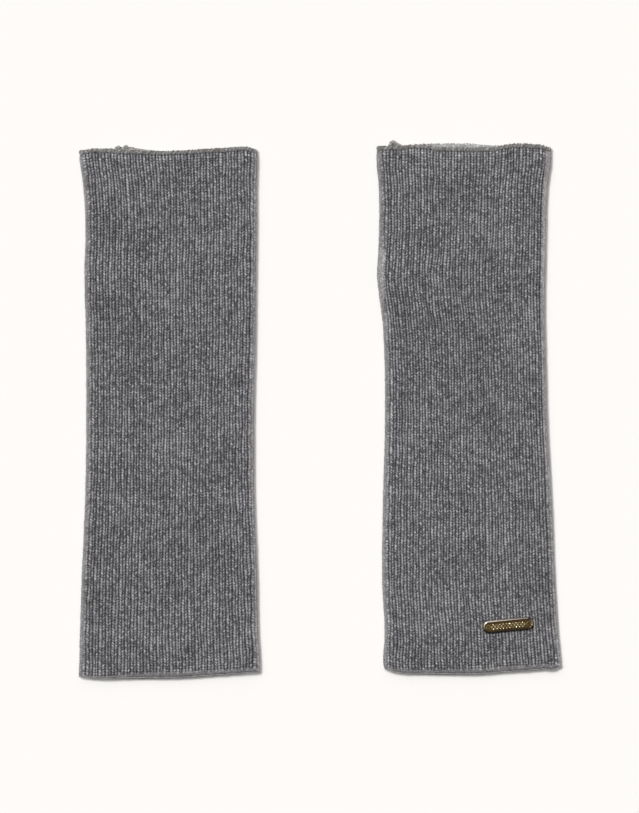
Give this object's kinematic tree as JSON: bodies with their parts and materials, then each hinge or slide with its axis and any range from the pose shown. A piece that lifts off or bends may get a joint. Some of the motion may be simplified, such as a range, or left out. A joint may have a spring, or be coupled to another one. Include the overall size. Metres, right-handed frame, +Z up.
{
  "type": "pair of knit hand warmers",
  "caption": "Pair of long rib-knit fingerless hand warmers laid flat side by side, open at both ends, with a thumb slit in the side join and a small metal bar sewn near an arm end.",
  "frame": {"origin": "on the surface that the pair lies on, under the middle of the pair's bounding box", "axes": "+X from the left warmer to the right one, +Y from the arm ends to the hand ends, +Z up from the surface"},
  "size_m": [0.2412, 0.268, 0.0062],
  "materials": {
    "grey_knit": "matte mottled grey rib knit with a soft nap",
    "gold_metal": "polished gold-coloured metal, darker in its sunk field"
  },
  "bodies": {
    "root": {"left_warmer": "grey_knit", "right_warmer": "grey_knit", "metal_bar": "gold_metal"}
  },
  "joints": []
}
